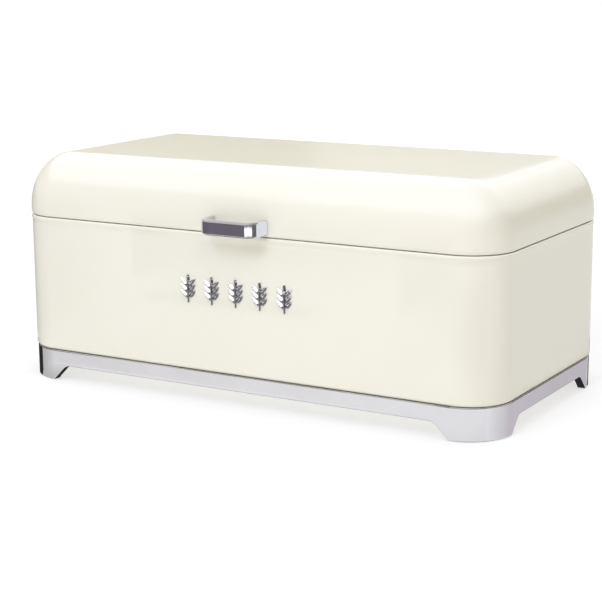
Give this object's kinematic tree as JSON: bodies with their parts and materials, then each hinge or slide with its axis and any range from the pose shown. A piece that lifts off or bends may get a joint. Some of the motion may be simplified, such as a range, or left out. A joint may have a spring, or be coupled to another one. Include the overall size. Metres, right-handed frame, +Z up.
{
  "type": "bread bin",
  "caption": "Long bread bin in cream enamelled steel with a domed hinged lid, bow handle, wheat-ear ornaments and a chrome plinth on bracket feet.",
  "frame": {"origin": "on the table, under the middle of the whole bin's bounding box", "axes": "+X along the bin's width to the right, -Y out of the front with the handle, +Z up"},
  "size_m": [0.42, 0.2426, 0.182],
  "materials": {
    "cream_enamel": "glossy cream enamel on sheet steel",
    "chrome_plate": "polished bright chrome plate",
    "zinc_steel": "bright zinc-plated steel",
    "grey_rubber": "matt grey rubber"
  },
  "bodies": {
    "box": {"body_shell": "cream_enamel", "floor_pan": "cream_enamel", "rim_collar": "cream_enamel", "plinth": "chrome_plate", "plinth_screws": "zinc_steel", "foot_pad_front_left": "grey_rubber", "foot_pad_front_right": "grey_rubber", "foot_pad_rear_left": "grey_rubber", "foot_pad_rear_right": "grey_rubber", "wheat_ear_1": "chrome_plate", "wheat_ear_2": "chrome_plate", "wheat_ear_3": "chrome_plate", "wheat_ear_4": "chrome_plate", "wheat_ear_5": "chrome_plate", "lid_bumpers": "grey_rubber", "hinge_body_leaf_left": "zinc_steel", "hinge_body_leaf_right": "zinc_steel", "hinge_pin_left": "zinc_steel", "hinge_pin_right": "zinc_steel", "hinge_body_rivets": "zinc_steel"},
    "lid": {"lid_shell": "cream_enamel", "handle": "chrome_plate", "handle_washers": "zinc_steel", "handle_nuts": "chrome_plate", "hinge_lid_leaf_left": "zinc_steel", "hinge_lid_leaf_right": "zinc_steel", "hinge_lid_rivets": "zinc_steel"}
  },
  "joints": [
    {"name": "lid_hinge", "type": "hinge", "parent": "box", "child": "lid", "pos_m": [0, 0.1163, 0.1332], "axis": [-1, 0, 0], "range_deg": [0, 95]}
  ]
}
